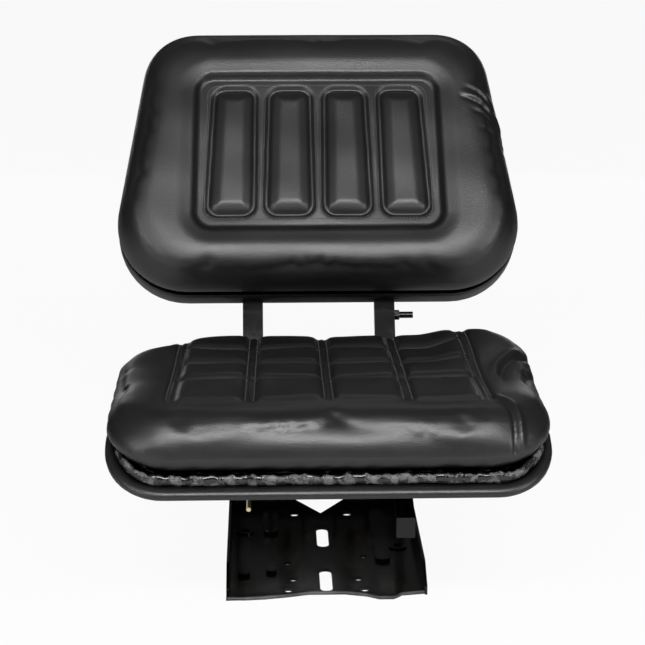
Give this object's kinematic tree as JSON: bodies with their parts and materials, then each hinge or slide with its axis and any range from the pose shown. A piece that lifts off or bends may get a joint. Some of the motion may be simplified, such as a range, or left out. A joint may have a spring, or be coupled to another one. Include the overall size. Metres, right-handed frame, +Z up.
{
  "type": "tractor seat",
  "caption": "Suspended tractor seat with padded cushion and backrest on stamped pans, weight adjuster, fore and aft slide and slotted base plate.",
  "frame": {"origin": "centre of the base plate on its underside", "axes": "+X to the right of someone facing the seat, +Y to the rear, +Z up"},
  "size_m": [0.4946, 0.6563, 0.5688],
  "materials": {
    "gloss_black": "gloss",
    "satin_black": "satin",
    "zinc_yellow": "satin",
    "bright_steel": "satin",
    "silver_cup": "satin",
    "vinyl": "soft sheen"
  },
  "bodies": {
    "base": {"base_plate": "gloss_black", "rear_housing": "satin_black", "lower_pivot_bolts": "zinc_yellow", "lower_pivot_washers": "zinc_yellow", "pivot_bushes": "bright_steel", "upper_pivot_bolts": "gloss_black", "spring_anchor_rod": "bright_steel", "adjuster_rod": "bright_steel", "adjuster_bracket": "satin_black", "spring_left": "gloss_black", "spring_right": "gloss_black"},
    "adjuster_screw": {"adjuster_screw": "zinc_yellow", "screw_spring": "zinc_yellow"},
    "lower_arms": {"lower_arm_frame": "gloss_black"},
    "upper_arms": {"upper_arm_left": "gloss_black", "upper_arm_right": "gloss_black"},
    "spring_links": {"crank_pin": "zinc_yellow", "hook_rod_left": "gloss_black", "hook_rod_right": "gloss_black", "spring_plug_left": "silver_cup", "spring_plug_right": "silver_cup"},
    "seat_frame": {"seat_frame": "gloss_black", "frame_pivot_bolts": "zinc_yellow", "frame_pivot_washers": "zinc_yellow", "lower_rail_left": "gloss_black", "lower_rail_right": "gloss_black"},
    "slide_lever": {"lever_shaft": "zinc_yellow", "slide_lever": "gloss_black", "latch_rod": "zinc_yellow"},
    "carriage": {"upper_rail_left": "gloss_black", "upper_rail_right": "gloss_black", "carriage_plate": "gloss_black", "pan_bolts": "zinc_yellow", "seat_pan": "gloss_black", "seat_cushion": "vinyl", "upright_left": "gloss_black", "upright_right": "gloss_black", "upright_stud": "gloss_black", "backrest_pan": "gloss_black", "backrest_cushion": "vinyl", "backrest_bolts": "zinc_yellow"}
  },
  "joints": [
    {"name": "arm_swing", "type": "hinge", "parent": "base", "child": "lower_arms", "pos_m": [0, 0.172, 0.03], "axis": [1, 0, 0], "range_deg": [0, 35], "stiffness_Nm_per_rad": 120, "springref_deg": -28.65, "deforming": ["spring_left", "spring_right"]},
    {"name": "upper_arm_swing", "type": "hinge", "parent": "base", "child": "upper_arms", "pos_m": [0, 0.21884, 0.08202], "axis": [1, 0, 0], "range_deg": [0, 35]},
    {"name": "spring_link_turn", "type": "hinge", "parent": "lower_arms", "child": "spring_links", "pos_m": [0, 0.15271, 0.06274], "axis": [1, 0, 0], "range_deg": [-35, 0]},
    {"name": "frame_level", "type": "hinge", "parent": "lower_arms", "child": "seat_frame", "pos_m": [0, 0.0737, 0.09883], "axis": [1, 0, 0], "range_deg": [-35, 0]},
    {"name": "fore_aft_slide", "type": "slide", "parent": "seat_frame", "child": "carriage", "axis": [0, -1, 0], "range_m": [0, 0.12]},
    {"name": "slide_lever_lift", "type": "hinge", "parent": "seat_frame", "child": "slide_lever", "pos_m": [0, -0.06, 0.128], "axis": [-1, 0, 0], "range_deg": [0, 4], "stiffness_Nm_per_rad": 3, "springref_deg": -17.19},
    {"name": "adjuster_turn", "type": "hinge", "parent": "base", "child": "adjuster_screw", "pos_m": [0, 0.27533, 0.09843], "axis": [0, 0.6691, 0.7431], "continuous": true}
  ],
  "couplings": [
    {"joint": "upper_arm_swing", "follows": "arm_swing", "ratio": 1},
    {"joint": "spring_link_turn", "follows": "arm_swing", "ratio": -1},
    {"joint": "frame_level", "follows": "arm_swing", "ratio": -1}
  ]
}
